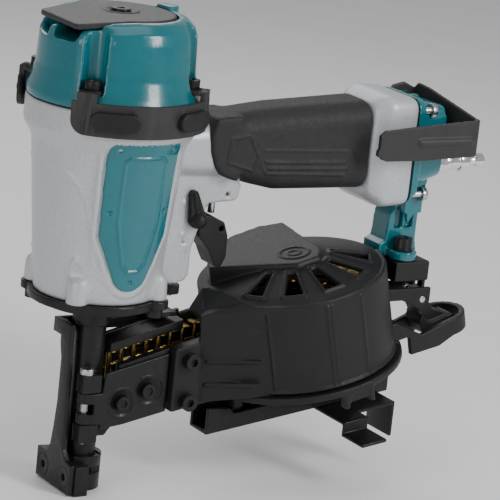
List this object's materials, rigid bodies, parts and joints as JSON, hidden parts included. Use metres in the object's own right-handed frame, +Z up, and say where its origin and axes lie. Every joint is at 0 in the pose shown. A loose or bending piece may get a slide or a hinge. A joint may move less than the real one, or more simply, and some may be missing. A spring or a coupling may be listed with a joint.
{
  "type": "pneumatic coil roofing nailer",
  "caption": "Pneumatic coil nailer: vertical drive head, rear handle with trigger, side-opening tilted drum magazine, spring contact foot and air plug.",
  "frame": {"origin": "centre of the contact foot's nail hole, at the foot's lower face, on the drive axis", "axes": "+Z up along the drive axis, +X rearwards along the handle, -Y to the side of the magazine door"},
  "size_m": [0.293, 0.114, 0.263],
  "materials": {
    "housing": "fine speckled coat",
    "cylinder_sleeve": "machined",
    "bumper": "soft matt",
    "sleeve_seals": "soft matt",
    "head_gasket": "soft matt",
    "head_cap": "glossy enamel",
    "cap_bolts": "black oxide",
    "guard_left": "black oxide",
    "guard_right": "black oxide",
    "guard_pads": "soft matt",
    "name_plates": "glossy enamel",
    "exhaust_cover": "fine texture",
    "exhaust_screw": "black oxide",
    "head_valve": "machined",
    "head_valve_spring": "ground",
    "piston": "machined",
    "piston_ring": "soft matt",
    "driver_blade": "ground",
    "grip": "soft matt",
    "rear_cap": "glossy enamel",
    "rear_gasket": "soft matt",
    "rear_screws": "ground",
    "inlet_filter": "plated",
    "air_plug": "polished",
    "hook": "black oxide",
    "hook_bolts": "ground",
    "drive_guide": "black oxide",
    "base_bolts": "black oxide",
    "contact_arm": "black oxide",
    "contact_foot": "black oxide",
    "foot_screws": "black oxide",
    "contact_spring": "ground",
    "depth_dial": "fine texture",
    "adjuster_rod": "ground",
    "trigger": "fine texture",
    "trigger_pivot": "ground",
    "trigger_spring": "ground",
    "change_lever": "fine texture",
    "trigger_valve": "plated",
    "valve_plunger": "ground",
    "feed_rail": "black oxide",
    "feeder_cylinder": "machined",
    "feed_piston": "ground",
    "feed_pawl": "black oxide",
    "feed_spring": "ground",
    "nail_strip": "plated",
    "magazine_body": "fine texture",
    "bracket_screw": "black oxide",
    "coil_platform": "fine texture",
    "nail_coil": "plated",
    "magazine_cover": "fine texture",
    "door_plate": "black oxide",
    "door_guide": "black oxide",
    "door_bolts": "black oxide",
    "hinge_pin": "ground",
    "latch_lever": "fine texture",
    "latch_pin": "ground",
    "latch_spring": "ground",
    "guide_rail": "black oxide",
    "shingle_guide": "black oxide"
  },
  "bodies": {
    "frame": {"housing": "housing", "cylinder_sleeve": "cylinder_sleeve", "bumper": "bumper", "sleeve_seals": "sleeve_seals", "head_gasket": "head_gasket", "head_cap": "head_cap", "cap_bolts": "cap_bolts", "guard_left": "guard_left", "guard_right": "guard_right", "guard_pads": "guard_pads", "name_plates": "name_plates", "exhaust_cover": "exhaust_cover", "exhaust_screw": "exhaust_screw", "head_valve_spring": "head_valve_spring", "grip": "grip", "rear_cap": "rear_cap", "rear_gasket": "rear_gasket", "rear_screws": "rear_screws", "inlet_filter": "inlet_filter", "air_plug": "air_plug", "hook": "hook", "hook_bolts": "hook_bolts", "drive_guide": "drive_guide", "base_bolts": "base_bolts", "contact_spring": "contact_spring", "trigger_pivot": "trigger_pivot", "trigger_spring": "trigger_spring", "trigger_valve": "trigger_valve", "feed_rail": "feed_rail", "feeder_cylinder": "feeder_cylinder", "feed_spring": "feed_spring", "nail_strip": "nail_strip", "magazine_body": "magazine_body", "bracket_screw": "bracket_screw", "hinge_pin": "hinge_pin", "guide_rail": "guide_rail", "adjuster_rod": "adjuster_rod"},
    "head_valve": {"head_valve": "head_valve"},
    "driver": {"piston": "piston", "piston_ring": "piston_ring", "driver_blade": "driver_blade"},
    "contact": {"contact_arm": "contact_arm", "contact_foot": "contact_foot", "foot_screws": "foot_screws"},
    "depth_dial": {"depth_dial": "depth_dial"},
    "trigger": {"trigger": "trigger"},
    "change_lever": {"change_lever": "change_lever"},
    "plunger": {"valve_plunger": "valve_plunger"},
    "feeder": {"feed_piston": "feed_piston", "feed_pawl": "feed_pawl"},
    "coil": {"coil_platform": "coil_platform", "nail_coil": "nail_coil"},
    "door": {"magazine_cover": "magazine_cover", "door_plate": "door_plate", "door_guide": "door_guide", "door_bolts": "door_bolts", "latch_pin": "latch_pin", "latch_spring": "latch_spring"},
    "latch": {"latch_lever": "latch_lever"},
    "shingle_guide": {"shingle_guide": "shingle_guide"}
  },
  "joints": [
    {"name": "head_valve_lift", "type": "slide", "parent": "frame", "child": "head_valve", "axis": [0, 0, 1], "range_m": [0, 0.004], "stiffness_N_per_m": 4000, "springref_m": -0.002, "deforming": ["head_valve_spring"]},
    {"name": "driver_stroke", "type": "slide", "parent": "frame", "child": "driver", "axis": [0, 0, -1], "range_m": [0, 0.08]},
    {"name": "contact_lift", "type": "slide", "parent": "frame", "child": "contact", "axis": [0, 0, 1], "range_m": [0, 0.007], "stiffness_N_per_m": 3000, "springref_m": -0.02, "deforming": ["contact_spring"]},
    {"name": "depth_turn", "type": "hinge", "parent": "frame", "child": "depth_dial", "pos_m": [0.046, 0, 0.108], "axis": [0, 0, 1], "range_deg": [-360, 360]},
    {"name": "trigger_pull", "type": "hinge", "parent": "frame", "child": "trigger", "pos_m": [0.0535, 0, 0.149], "axis": [0, -1, 0], "range_deg": [0, 12], "stiffness_Nm_per_rad": 0.5, "springref_deg": -22.92, "deforming": ["trigger_spring"]},
    {"name": "plunger_lift", "type": "slide", "parent": "frame", "child": "plunger", "axis": [0, 0, 1], "range_m": [0, 0.0031]},
    {"name": "mode_turn", "type": "hinge", "parent": "frame", "child": "change_lever", "pos_m": [0.0535, -0.01, 0.149], "axis": [0, 1, 0], "range_deg": [0, 180]},
    {"name": "feed_stroke", "type": "slide", "parent": "frame", "child": "feeder", "axis": [0.9703, 0, 0.2419], "range_m": [0, 0.008], "stiffness_N_per_m": 400, "springref_m": -0.01, "deforming": ["feed_spring"]},
    {"name": "platform_height", "type": "slide", "parent": "frame", "child": "coil", "axis": [-0.2419, 0, 0.9703], "range_m": [0, 0.008]},
    {"name": "door_swing", "type": "hinge", "parent": "frame", "child": "door", "pos_m": [-0.006, -0.011, 0.045], "axis": [0, 0, -1], "range_deg": [0, 100]},
    {"name": "latch_press", "type": "hinge", "parent": "door", "child": "latch", "pos_m": [0.202, -0.012, 0.099], "axis": [0, 1, 0], "range_deg": [0, 10], "stiffness_Nm_per_rad": 0.6, "springref_deg": -22.92, "deforming": ["latch_spring"]},
    {"name": "guide_slide", "type": "slide", "parent": "frame", "child": "shingle_guide", "axis": [0.9897, 0, 0.1435], "range_m": [-0.06, 0.01]}
  ],
  "couplings": [
    {"joint": "plunger_lift", "follows": "trigger_pull", "m_per_rad": 0.0145}
  ]
}
